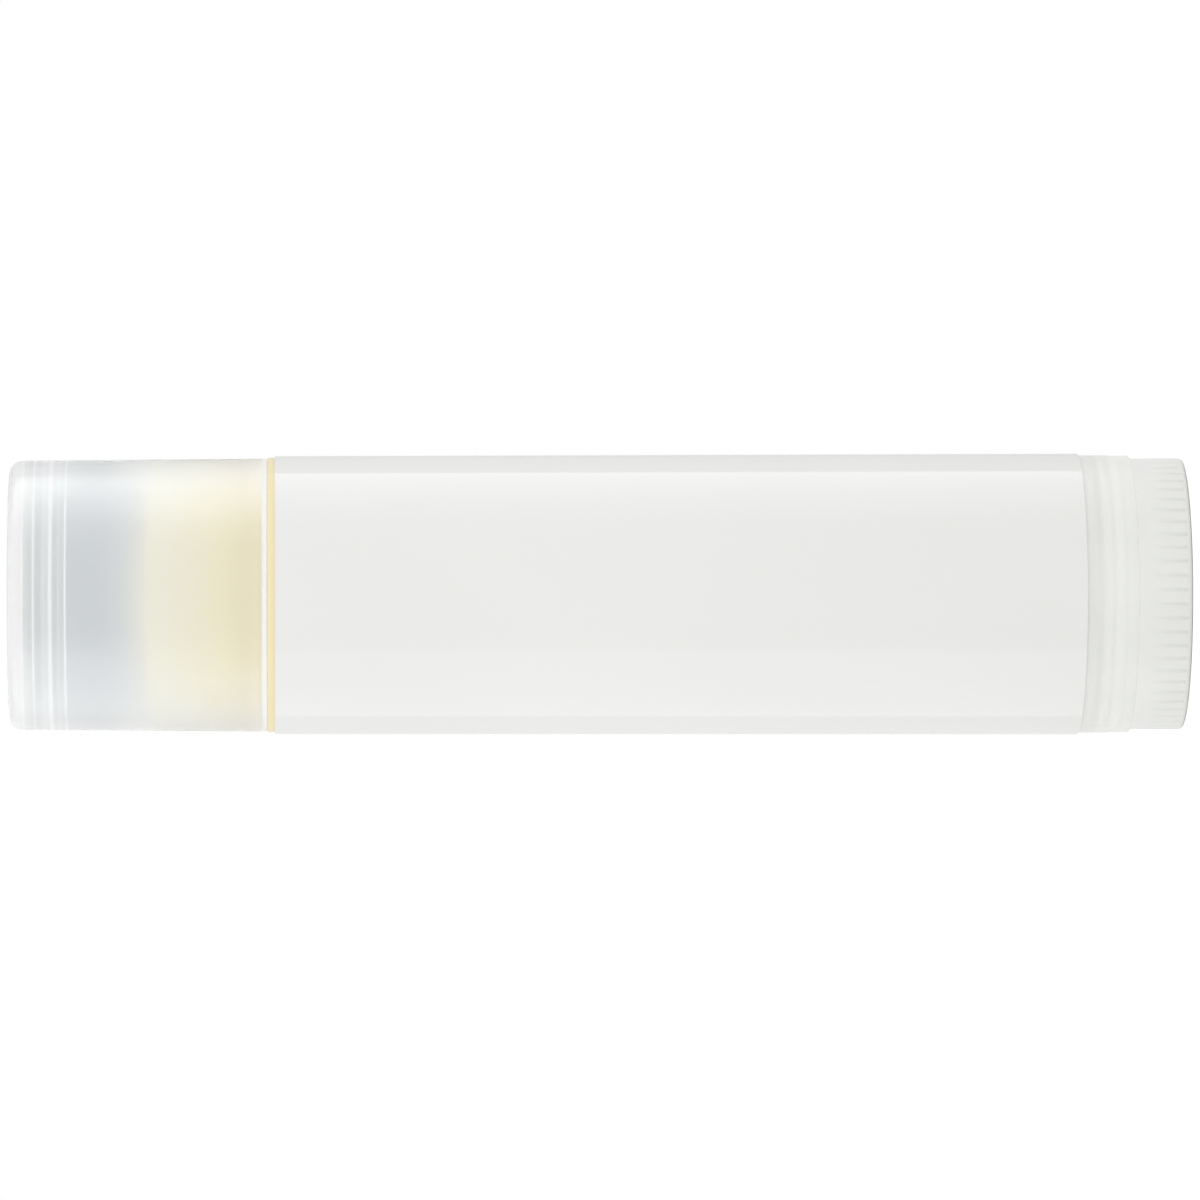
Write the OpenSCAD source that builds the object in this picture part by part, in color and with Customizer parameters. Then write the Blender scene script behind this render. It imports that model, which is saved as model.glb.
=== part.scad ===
// Lip balm stick, standing on its dial with its cap on, in millimetres.
// The barrel's axis is Z and the dial's foot lies on Z = 0.
// The bore, the walls and the fits drive the diameters, and the stack of heights drives the levels.

/* [Barrel] */
// Bore that the balm slides up in
bore_d = 12; // [9:0.5:18]
// Wall of the neck that the cap goes over
neck_wall = 0.75; // [0.5:0.05:2]
// Height of the neck above the shoulder
neck_h = 6.93; // [5:0.01:9]
// Height of the body from its lower end to the shoulder
body_h = 49.34; // [42:0.01:80]
// How much the body widens towards its lower end, on the radius
body_draft = 0.105; // [0.02:0.01:0.3]
// Chamfer on the body's lower edge
body_chamfer = 0.1; // [0.05:0.01:0.3]
// Radius of the edge round the shoulder
shoulder_r = 0.1; // [0.04:0.02:0.2]
// How far the retaining bead stands out from the neck
bead_out = 0.05; // [0.02:0.01:0.1]
// Height of the retaining bead
bead_w = 0.7; // [0.3:0.1:1.2]
// Height of the retaining bead's middle above the shoulder
bead_up = 2.2; // [1.2:0.1:3.5]
// Chamfer round the neck's mouth
mouth_chamfer = 0.15; // [0.05:0.05:0.3]

/* [Keys] */
// Number of upright keys in the bore that keep the carrier from turning
key_count = 4; // [2:1:6]
// Width of a key
key_w = 0.9; // [0.5:0.1:1.6]
// How far a key stands into the bore
key_h = 0.35; // [0.2:0.05:0.45]
// Distance from a key's upper end up to the shoulder
key_short = 0.6; // [0.3:0.1:3]

/* [Label] */
// Thickness of the wrapped film
label_t = 0.11; // [0.05:0.01:0.3]
// Bare band of the body below the label
label_up = 2.94; // [1:0.01:10]
// Bare band of the body above the label
label_down = 0.43; // [0.2:0.01:5]
// How far the film laps over its own start
label_lap = 2.5; // [1:0.5:6]
// Angle round the axis at which the lap begins
label_lap_at = 90; // [0:5:355]

/* [Cap] */
// Space in the cap between the neck's mouth and the closed end
cap_room = 6.95; // [5.5:0.05:12]
// Wall of the cap at its rim
cap_wall = 0.93; // [0.6:0.01:2]
// How much the cap narrows towards its closed end, on the radius
cap_draft = 0.105; // [0.02:0.01:0.3]
// Thickness of the closed end
cap_end_t = 0.84; // [0.5:0.02:2]
// Radius of the closed end's outer corner
cap_corner_r = 0.78; // [0.3:0.02:1.2]
// Lead-in chamfer inside the cap's mouth
cap_lead_in = 0.3; // [0.1:0.02:0.5]
// Radius of the edge round the cap's rim
cap_rim_r = 0.1; // [0.04:0.02:0.2]
// Distance of the first narrowing ring's lower edge from the closed end's inner face
cap_ring_1 = 2.45; // [2:0.05:3]
// Distance of the second ring's lower edge from that face
cap_ring_2 = 1.6; // [1.2:0.05:1.7]
// Distance of the third ring's lower edge from that face
cap_ring_3 = 0.65; // [0.4:0.05:1]
// How much each ring is narrower than the one below it, on the radius
cap_ring_step = 0.22; // [0.1:0.02:0.4]
// Height of the bevel at each ring's lower edge
cap_ring_bevel = 0.38; // [0.1:0.02:0.6]
// Diameter of the gate dimple in the middle of the cap's end
cap_gate_d = 2; // [1:0.1:4]
// Depth of the cap's gate dimple
cap_gate_deep = 0.15; // [0.05:0.05:0.3]

/* [Dial] */
// Height of the dial below the body
dial_h = 3.04; // [2.6:0.01:6]
// How far the dial is set in from the body's lower edge
dial_inset = 0.18; // [0.1:0.01:0.6]
// Radius of the edge round the dial's foot
dial_edge_r = 0.25; // [0.1:0.01:0.6]
// Radius of the edge round the dial's top
dial_top_r = 0.08; // [0.02:0.02:0.3]
// Number of grip flutes
flute_count = 60; // [24:1:72]
// Width of a flute at its open lower end
flute_w = 0.24; // [0.15:0.01:0.4]
// Depth of a flute at its lower end
flute_deep = 0.1; // [0.08:0.01:0.2]
// Height at which the flutes begin
flute_low = 0.3; // [0.3:0.02:0.8]
// Height at which the flutes run out
flute_high = 2.35; // [1.2:0.05:2.5]
// How far round the first flute stands from the X axis, as a share of the flutes' pitch
flute_turn_share = 0.29; // [0:0.01:1]
// Depth of the dished foot
dish_deep = 0.35; // [0.1:0.05:0.8]
// Width of the flat ring that the dial stands on
foot_ring_w = 1.1; // [0.5:0.1:2.5]
// Diameter of the gate dimple in the middle of the foot
gate_d = 1.6; // [0.8:0.1:3]
// Depth of the gate dimple
gate_deep = 0.3; // [0.1:0.05:0.6]

/* [Hub] */
// Height of the dial's hub inside the body
hub_h = 1.75; // [1.5:0.05:3]
// How much wider the hub's seat is than the bore, on the radius
seat_step = 0.35; // [0.2:0.05:0.6]
// How far the snap bead stands out from the hub
snap_out = 0.3; // [0.15:0.05:0.45]
// Height of the snap bead
snap_w = 0.8; // [0.5:0.05:1]
// Height of the snap bead's middle above the dial
snap_up = 1; // [0.7:0.05:1.1]

/* [Screw] */
// Rise of the thread in one turn
screw_lead = 4; // [3.4:0.2:6]
// Diameter over the thread
screw_d = 4.5; // [3.6:0.1:5.5]
// Height of the thread above its core
thread_h = 0.7; // [0.4:0.05:0.9]
// Width of the thread at its core
thread_root_w = 1.7; // [1.2:0.1:2]
// Width of the thread at its crest
thread_crest_w = 1.2; // [0.8:0.1:1.6]
// Distance from the screw's tip to the neck's mouth
screw_short = 7.2; // [5:0.2:12]
// Chamfer on the screw's tip
screw_tip = 0.5; // [0.2:0.1:0.8]
// Height of the flare at the screw's foot
flare_h = 0.7; // [0.3:0.1:1]

/* [Carrier] */
// Height of the threaded nut below the carrier's floor
nut_h = 6.5; // [5.5:0.25:9]
// Wall of the nut
nut_wall = 0.95; // [0.6:0.05:1.4]
// Thickness of the carrier's floor
floor_t = 0.9; // [0.5:0.1:1.6]
// Wall of the carrier's cup and skirt
cup_wall = 0.8; // [0.6:0.05:1.2]
// Depth of the cup above the floor
cup_h = 3.4; // [2:0.2:6]
// Height of the guide skirt below the floor
skirt_h = 2.5; // [1:0.25:4]
// Thickness of the webs between the nut and the skirt
web_t = 0.8; // [0.5:0.1:1.2]
// Space between the hub and the carrier when the balm is wound right down
carrier_up = 1.5; // [0.8:0.1:3]

/* [Balm] */
// Height of the balm's domed top above the neck
dome_h = 1; // [0.4:0.1:2]

/* [Fits] */
// Clearance of the cap over the neck's bead, on the radius
cap_fit = 0.08; // [0.07:0.01:0.15]
// How much wider the shoulder is than the cap's rim, on the radius
rim_step = 0.05; // [0.02:0.01:0.2]
// Gap between the dial and the body
dial_gap = 0.03; // [0.03:0.01:0.2]
// Clearance round the hub and its snap bead
hub_fit = 0.07; // [0.05:0.01:0.15]
// Clearance of the carrier in the bore, on the radius
carrier_fit = 0.1; // [0.05:0.01:0.2]
// Clearance of the balm in the bore, on the radius
balm_fit = 0.08; // [0.04:0.01:0.2]
// Clearance round each key
key_fit = 0.1; // [0.05:0.01:0.2]
// Clearance between the screw and the nut, on the radius
thread_fit = 0.1; // [0.08:0.01:0.2]
// Clearance on each flank of the thread
flank_fit = 0.15; // [0.1:0.01:0.25]
// Clearance between the screw and the balm round it
balm_bore_fit = 0.15; // [0.1:0.01:0.4]

/* [Hidden] */

$fn = 96;
arc_steps = 6;
turn_steps = 24;
// How far a cutter runs past what it cuts, and a joined piece into what it joins
overrun = 0.2;

// Radii, from the bore outwards
bore_r = bore_d / 2;
neck_r = bore_r + neck_wall;
cap_bore_r = neck_r + bead_out + cap_fit;
cap_rim_out_r = cap_bore_r + cap_wall;
body_top_r = cap_rim_out_r + rim_step;
body_low_r = body_top_r + body_draft;
dial_r = body_low_r - dial_inset;
seat_r = bore_r + seat_step;
hub_r = seat_r - hub_fit;

// Height of the cap
cap_h = neck_h + cap_room + cap_end_t;

// Levels, from the foot up
body_z = dial_h + dial_gap;
shoulder_z = body_z + body_h;
mouth_z = shoulder_z + neck_h;
cap_top_z = shoulder_z + cap_h;
hub_top_z = dial_h + hub_h;
seat_top_z = hub_top_z + 2 * hub_fit;
snap_z = dial_h + snap_up;
label_low_z = body_z + label_up;
label_high_z = shoulder_z - label_down;
nut_low_z = hub_top_z + carrier_up;
floor_z = nut_low_z + nut_h;
cup_z = floor_z + floor_t;
cup_rim_z = cup_z + cup_h;
skirt_z = floor_z - skirt_h;
screw_tip_z = mouth_z - screw_short;
key_top_z = shoulder_z - key_short;

// The screw and the nut on it
screw_r = screw_d / 2;
core_r = screw_r - thread_h;
nut_bore_r = screw_r + thread_fit;
nut_r = nut_bore_r + nut_wall;
// Turning angle of the screw's thread at Z = 0, and of the nut's thread, which runs in its groove
screw_phase = 0;
nut_phase = screw_phase + 180;
// Width of the screw's thread at a radius
function thread_w(r) = thread_root_w + (thread_crest_w - thread_root_w) * (r - core_r) / thread_h;
// Width of the nut's thread at a radius: what the screw's thread leaves, less the flank clearances
function nut_w(r) = screw_lead - thread_w(r) - 2 * flank_fit;

// The carrier's outline, and the keys in the bore
carrier_r = bore_r - carrier_fit;
cup_r = carrier_r - cup_wall;
balm_r = bore_r - balm_fit;
key_tip_r = bore_r - key_h;
slot_r = key_tip_r - key_fit;
slot_w = key_w + 2 * key_fit;

// Radius of the body's outside at a height
function body_r(z) = body_low_r - body_draft * (z - body_z) / body_h;
// Radius of the cap's outside and of its bore at a height
function cap_out_r(z) = cap_rim_out_r - cap_draft * (z - shoulder_z) / cap_h;
function cap_in_r(z) = cap_bore_r - cap_draft * (z - shoulder_z) / cap_h;

// Points of an arc about a centre, in the plane of a profile
function arc(centre, r, from, to) =
    [for (i = [0 : arc_steps])
        let (a = from + (to - from) * i / arc_steps)
        [centre[0] + r * cos(a), centre[1] + r * sin(a)]];

// A bead round the axis: a trapezoid that stands out from radius r, rooted inside it
module bead(r, z, w, out) {
    rotate_extrude()
        polygon([
            [r - overrun, z - w / 2],
            [r, z - w / 2],
            [r + out, z - w / 4],
            [r + out, z + w / 4],
            [r, z + w / 2],
            [r - overrun, z + w / 2],
        ]);
}

// Boxes that stand round the axis between two radii, one at each key
module at_keys(r_in, r_out, w, low, high) {
    for (i = [0 : key_count - 1])
        rotate(360 * i / key_count)
            translate([r_in, -w / 2, low])
                cube([r_out - r_in, w, high - low]);
}

// A left-hand screw ridge round the axis. Its middle passes the turning angle of phase at Z = 0.
module ridge(r_in, r_out, w_in, w_out, low, high, phase) {
    rings = ceil((high - low) / screw_lead * turn_steps);
    points = [
        for (i = [0 : rings])
            let (z = low + (high - low) * i / rings)
            let (a = phase - 360 * z / screw_lead)
            for (corner = [[r_in, -w_in], [r_out, -w_out], [r_out, w_out], [r_in, w_in]])
                [corner[0] * cos(a), corner[0] * sin(a), z + corner[1] / 2]
    ];
    sides = [
        for (i = [0 : rings - 1], k = [0 : 3])
            let (p = 4 * i + k, q = 4 * i + (k + 1) % 4)
            for (face = [[q, p, q + 4], [q + 4, p, p + 4]])
                face
    ];
    last = 4 * rings;
    ends = [[0, 1, 2], [0, 2, 3], [last + 1, last, last + 2], [last + 2, last, last + 3]];
    polyhedron(points, concat(sides, ends));
}

module barrel() {
    color("ivory") {
        difference() {
            union() {
                rotate_extrude()
                    polygon(concat(
                        [[0, body_z], [body_low_r - body_chamfer, body_z]],
                        [[body_r(body_z + body_chamfer), body_z + body_chamfer]],
                        arc([body_top_r - shoulder_r, shoulder_z - shoulder_r], shoulder_r, 0, 90),
                        [[neck_r, shoulder_z], [neck_r, mouth_z - mouth_chamfer]],
                        [[neck_r - mouth_chamfer, mouth_z], [0, mouth_z]]
                    ));
                bead(neck_r, shoulder_z + bead_up, bead_w, bead_out);
            }
            translate([0, 0, body_z - overrun])
                cylinder(r = bore_r, h = mouth_z - body_z + 2 * overrun);
            translate([0, 0, body_z - overrun])
                cylinder(r = seat_r, h = seat_top_z - body_z + overrun);
            translate([0, 0, seat_top_z])
                cylinder(r1 = seat_r, r2 = bore_r, h = seat_step);
            bead(seat_r, snap_z, snap_w + 2 * hub_fit, snap_out);
        }
        at_keys(key_tip_r, bore_r + neck_wall / 2, key_w, seat_top_z + seat_step, key_top_z);
    }
}

// A sheet wrapped on the body, so many thicknesses out, through an angle
module wrap(layer, angle) {
    rotate_extrude(angle = angle)
        polygon([
            [body_r(label_low_z) + layer * label_t, label_low_z],
            [body_r(label_low_z) + (layer + 1) * label_t, label_low_z],
            [body_r(label_high_z) + (layer + 1) * label_t, label_high_z],
            [body_r(label_high_z) + layer * label_t, label_high_z],
        ]);
}

module label() {
    lap_angle = label_lap / (2 * PI * body_low_r) * 360;
    color("whitesmoke") {
        wrap(0, 360);
        rotate(label_lap_at)
            wrap(1, lap_angle);
    }
}

module dial_knob() {
    rotate_extrude()
        polygon(concat(
            [[0, 0]],
            arc([dial_r - dial_edge_r, dial_edge_r], dial_edge_r, -90, 0),
            arc([dial_r - dial_top_r, dial_h - dial_top_r], dial_top_r, 0, 90),
            [[hub_r, dial_h], [hub_r, hub_top_z - snap_w / 4]],
            [[hub_r - snap_w / 4, hub_top_z], [0, hub_top_z]]
        ));
    bead(hub_r, snap_z, snap_w, snap_out);
}

// Cutters for the grip flutes: thin rods that lean outwards, so that each flute runs out at its upper end
module flutes() {
    cut_r = (pow(flute_w / 2, 2) + pow(flute_deep, 2)) / (2 * flute_deep);
    lean = atan(flute_deep / (flute_high - flute_low));
    for (i = [0 : flute_count - 1])
        rotate(360 * (i + flute_turn_share) / flute_count)
            translate([dial_r - flute_deep + cut_r / cos(lean), 0, flute_low])
                rotate([0, lean, 0])
                    cylinder(r = cut_r, h = (flute_high - flute_low) / cos(lean) + overrun);
}

module dial_screw() {
    dish_r = dial_r - dial_edge_r - foot_ring_w;
    color("gainsboro") {
        difference() {
            dial_knob();
            flutes();
            translate([0, 0, -overrun])
                cylinder(r = dish_r, h = dish_deep + overrun);
            translate([0, 0, -overrun])
                cylinder(d = gate_d, h = dish_deep + gate_deep + overrun);
        }
        translate([0, 0, hub_top_z - overrun])
            cylinder(r = core_r, h = screw_tip_z - screw_tip - hub_top_z + overrun);
        translate([0, 0, screw_tip_z - screw_tip])
            cylinder(r1 = core_r, r2 = core_r - screw_tip, h = screw_tip);
        translate([0, 0, hub_top_z - overrun])
            cylinder(r1 = core_r + flare_h + overrun, r2 = core_r, h = flare_h + overrun);
        ridge(
            core_r - overrun, screw_r, thread_w(core_r - overrun), thread_crest_w,
            hub_top_z + flare_h + thread_root_w / 2 + overrun,
            screw_tip_z - screw_tip - thread_root_w, screw_phase
        );
    }
}

module carrier() {
    thread_end = nut_w(nut_bore_r + overrun) / 2;
    color("white") {
        difference() {
            union() {
                translate([0, 0, skirt_z])
                    cylinder(r = carrier_r, h = cup_rim_z - skirt_z);
                translate([0, 0, nut_low_z])
                    cylinder(r = nut_r, h = nut_h);
            }
            translate([0, 0, cup_z])
                cylinder(r = cup_r, h = cup_h + overrun);
            difference() {
                translate([0, 0, skirt_z - overrun])
                    cylinder(r = cup_r, h = skirt_h + overrun);
                translate([0, 0, nut_low_z])
                    cylinder(r = nut_r, h = nut_h + overrun);
                for (i = [0 : key_count - 1])
                    rotate(360 * (i + 1 / 2) / key_count)
                        translate([0, -web_t / 2, skirt_z])
                            cube([carrier_r, web_t, skirt_h + overrun]);
            }
            translate([0, 0, nut_low_z - overrun])
                cylinder(r = nut_bore_r, h = cup_z - nut_low_z + 2 * overrun);
            at_keys(slot_r, bore_r, slot_w, skirt_z - overrun, cup_rim_z + overrun);
        }
        ridge(
            core_r + thread_fit, nut_bore_r + overrun,
            nut_w(core_r + thread_fit), nut_w(nut_bore_r + overrun),
            nut_low_z + thread_end, floor_z - thread_end, nut_phase
        );
    }
}

module balm() {
    dome_r = (pow(balm_r, 2) + pow(dome_h, 2)) / (2 * dome_h);
    color("khaki")
        difference() {
            union() {
                translate([0, 0, cup_z])
                    cylinder(r = cup_r, h = cup_h);
                translate([0, 0, cup_rim_z])
                    cylinder(r = balm_r, h = mouth_z - cup_rim_z);
                intersection() {
                    translate([0, 0, mouth_z])
                        cylinder(r = balm_r, h = dome_h + overrun);
                    translate([0, 0, mouth_z + dome_h - dome_r])
                        sphere(r = dome_r);
                }
            }
            translate([0, 0, cup_z - overrun])
                cylinder(r = screw_r + balm_bore_fit, h = screw_tip_z - cup_z + balm_bore_fit + overrun);
            at_keys(slot_r, bore_r, slot_w, cup_rim_z - overrun, key_top_z + key_fit);
        }
}

module cap() {
    end_z = cap_top_z - cap_end_t;
    ring_1_z = end_z - cap_ring_1;
    ring_2_z = end_z - cap_ring_2;
    ring_3_z = end_z - cap_ring_3;
    ring_r = cap_in_r(ring_1_z);
    corner = [cap_out_r(cap_top_z) - cap_corner_r, cap_top_z - cap_corner_r];
    color("lightsteelblue")
        difference() {
            rotate_extrude()
                polygon(concat(
                    [[0, shoulder_z]],
                    arc([cap_rim_out_r - cap_rim_r, shoulder_z + cap_rim_r], cap_rim_r, -90, 0),
                    arc(corner, cap_corner_r, 0, 90),
                    [[0, cap_top_z]]
                ));
            rotate_extrude()
                polygon([
                    [0, shoulder_z - overrun],
                    [cap_bore_r + cap_lead_in + overrun, shoulder_z - overrun],
                    [cap_in_r(shoulder_z + cap_lead_in), shoulder_z + cap_lead_in],
                    [ring_r, ring_1_z],
                    [ring_r - cap_ring_step, ring_1_z + cap_ring_bevel],
                    [ring_r - cap_ring_step, ring_2_z],
                    [ring_r - 2 * cap_ring_step, ring_2_z + cap_ring_bevel],
                    [ring_r - 2 * cap_ring_step, ring_3_z],
                    [ring_r - 3 * cap_ring_step, ring_3_z + cap_ring_bevel],
                    [ring_r - 3 * cap_ring_step, end_z],
                    [0, end_z],
                ]);
            translate([0, 0, cap_top_z - cap_gate_deep])
                cylinder(d = cap_gate_d, h = cap_gate_deep + overrun);
        }
}

barrel();
label();
dial_screw();
carrier();
balm();
cap();
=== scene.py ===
"""The looks of a twist-up lip balm stick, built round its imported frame, and a studio round it."""

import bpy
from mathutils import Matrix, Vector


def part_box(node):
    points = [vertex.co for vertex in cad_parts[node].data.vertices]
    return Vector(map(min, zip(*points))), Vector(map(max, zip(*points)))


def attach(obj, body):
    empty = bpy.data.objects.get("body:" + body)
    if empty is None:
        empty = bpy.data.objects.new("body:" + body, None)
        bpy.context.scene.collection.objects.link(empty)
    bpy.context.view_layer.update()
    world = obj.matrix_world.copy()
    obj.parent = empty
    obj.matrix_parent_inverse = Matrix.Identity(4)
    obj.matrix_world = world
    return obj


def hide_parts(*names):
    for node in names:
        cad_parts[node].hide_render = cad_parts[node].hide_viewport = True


bl_info = {
    "name": "Lip Balm Stick",
    "version": (1, 0, 0),
    "blender": (4, 5, 0),
    "location": "3D View > Sidebar > Lip Balm",
    "description": "Builds a twist-up lip balm stick of its moulded pieces, and a studio round it",
    "category": "Object",
}

import math

import bmesh
import bpy
from mathutils import Matrix, Vector

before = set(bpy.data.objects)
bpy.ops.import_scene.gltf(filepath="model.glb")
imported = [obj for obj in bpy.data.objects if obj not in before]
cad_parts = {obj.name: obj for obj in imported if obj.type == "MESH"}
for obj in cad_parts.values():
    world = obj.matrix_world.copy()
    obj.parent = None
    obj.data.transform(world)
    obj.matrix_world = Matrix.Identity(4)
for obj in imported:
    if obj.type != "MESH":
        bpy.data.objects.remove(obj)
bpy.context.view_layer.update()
MM = 0.001
DRAWN = (1, 1, 0.25)  # draws a noise's lumps out along the stick

BARREL_LOW, BARREL_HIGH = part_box("barrel")
LABEL_LOW, LABEL_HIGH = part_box("label")
DIAL_LOW, DIAL_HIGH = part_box("dial_screw")
BALM_LOW, BALM_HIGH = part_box("balm")
CAP_LOW, CAP_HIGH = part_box("cap")


class BarrelSettings(bpy.types.PropertyGroup):
    """Sizes and colours of the barrel."""

    body_radius: bpy.props.FloatProperty(
        name="Body radius",
        description="Radius of the body at its lower end",
        default=BARREL_HIGH.x, unit="LENGTH", precision=5)
    shoulder_radius: bpy.props.FloatProperty(
        name="Shoulder radius",
        description="Radius of the body at the shoulder",
        default=7.86 * MM, unit="LENGTH", precision=5)
    neck_radius: bpy.props.FloatProperty(
        name="Neck radius",
        description="Radius of the neck that the cap goes over",
        default=6.75 * MM, unit="LENGTH", precision=5)
    bore_radius: bpy.props.FloatProperty(
        name="Bore radius",
        description="Radius of the bore that the balm slides in",
        default=6 * MM, unit="LENGTH", precision=5)
    seat_radius: bpy.props.FloatProperty(
        name="Seat radius",
        description="Radius of the seat that the dial's hub turns in",
        default=6.35 * MM, unit="LENGTH", precision=5)
    seat_top: bpy.props.FloatProperty(
        name="Seat top",
        description="Height of the top of the hub's seat",
        default=4.93 * MM, unit="LENGTH", precision=5)
    groove_height: bpy.props.FloatProperty(
        name="Groove height",
        description="Height of the middle of the groove that the dial snaps into",
        default=4.04 * MM, unit="LENGTH", precision=5)
    groove_width: bpy.props.FloatProperty(
        name="Groove width",
        description="Width of the snap groove along the axis",
        default=0.94 * MM, unit="LENGTH", precision=5)
    groove_depth: bpy.props.FloatProperty(
        name="Groove depth",
        description="Depth of the snap groove",
        default=0.3 * MM, unit="LENGTH", precision=5)
    bead_rise: bpy.props.FloatProperty(
        name="Bead rise",
        description="Height of the cap's retaining bead above the shoulder",
        default=2.2 * MM, unit="LENGTH", precision=5)
    bead_width: bpy.props.FloatProperty(
        name="Bead width",
        description="Width of the retaining bead along the axis",
        default=0.7 * MM, unit="LENGTH", precision=5)
    bead_out: bpy.props.FloatProperty(
        name="Bead stand-out",
        description="How far the retaining bead stands out from the neck",
        default=0.05 * MM, unit="LENGTH", precision=5)
    key_count: bpy.props.IntProperty(
        name="Keys",
        description="Number of upright keys in the bore",
        default=4, min=2)
    key_width: bpy.props.FloatProperty(
        name="Key width",
        description="Width of a key",
        default=0.9 * MM, unit="LENGTH", precision=5)
    key_height: bpy.props.FloatProperty(
        name="Key height",
        description="How far a key stands into the bore",
        default=0.35 * MM, unit="LENGTH", precision=5)
    key_short: bpy.props.FloatProperty(
        name="Key shortfall",
        description="Distance from a key's upper end up to the shoulder",
        default=0.6 * MM, unit="LENGTH", precision=5)
    clear: bpy.props.FloatVectorProperty(
        name="Clear tint",
        description="Colour that the plastic lends to what shows through it",
        default=(0.985, 0.985, 0.97), subtype="COLOR", size=3, min=0, max=1)
    milk: bpy.props.FloatVectorProperty(
        name="Milk",
        description="Colour of the plastic's milky part",
        default=(0.88, 0.89, 0.86), subtype="COLOR", size=3, min=0, max=1)
    # Painted glow: glow, painted_neck_glow and painted_mouth_glow give the milky part the balm's
    # yellow light as its colour.
    glow: bpy.props.FloatVectorProperty(
        name="Glow",
        description="Colour that the milky part takes on from the balm at the shoulder",
        default=(0.93, 0.825, 0.53), subtype="COLOR", size=3, min=0, max=1)
    painted_neck_glow: bpy.props.FloatVectorProperty(
        name="Neck glow",
        description="Colour that the milky part takes on from the balm low in the neck",
        default=(1, 0.89, 0.53), subtype="COLOR", size=3, min=0, max=1)
    painted_mouth_glow: bpy.props.FloatVectorProperty(
        name="Pale glow",
        description="Colour that the milky part takes on from the balm near the mouth",
        default=(0.985, 0.94, 0.75), subtype="COLOR", size=3, min=0, max=1)
    haze: bpy.props.FloatProperty(
        name="Haze",
        description="Share of the milky part in the thin neck",
        default=0.82, subtype="FACTOR", min=0, max=1)
    root_haze: bpy.props.FloatProperty(
        name="Root haze",
        description="Further share of the milky part at the neck's root",
        default=0.13, subtype="FACTOR", min=0, max=1)
    root_height: bpy.props.FloatProperty(
        name="Root height",
        description="Height of the neck's root, above the shoulder",
        default=2 * MM, unit="LENGTH", precision=5)
    body_haze: bpy.props.FloatProperty(
        name="Body haze",
        description="Share of the milky part in the thick body",
        default=0.85, subtype="FACTOR", min=0, max=1)
    frost: bpy.props.FloatProperty(
        name="Frost",
        description="Roughness of the plastic",
        default=0.22, subtype="FACTOR", min=0, max=1)
    specular: bpy.props.FloatProperty(
        name="Specular",
        description="Specular level of the plastic's clear part",
        default=0.25, subtype="FACTOR", min=0, max=1)


class LabelSettings(bpy.types.PropertyGroup):
    """Sizes and colours of the wrapped film."""

    thickness: bpy.props.FloatProperty(
        name="Thickness",
        description="Thickness of the film",
        default=0.11 * MM, unit="LENGTH", precision=5)
    lap: bpy.props.FloatProperty(
        name="Lap",
        description="How far the film laps over its own start",
        default=2.5 * MM, unit="LENGTH", precision=5)
    lap_at: bpy.props.FloatProperty(
        name="Lap place",
        description="Angle of the film's start round the axis, from X",
        default=math.radians(90), subtype="ANGLE")
    climb: bpy.props.FloatProperty(
        name="Climb",
        description="Angle over which the film climbs onto its own start",
        default=0.1, subtype="ANGLE")
    film: bpy.props.FloatVectorProperty(
        name="Film",
        description="Colour of the blank film",
        default=(0.818, 0.817, 0.8), subtype="COLOR", size=3, min=0, max=1)
    gloss: bpy.props.FloatProperty(
        name="Gloss roughness",
        description="Roughness of the film's coating",
        default=0.08, subtype="FACTOR", min=0, max=1)


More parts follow.
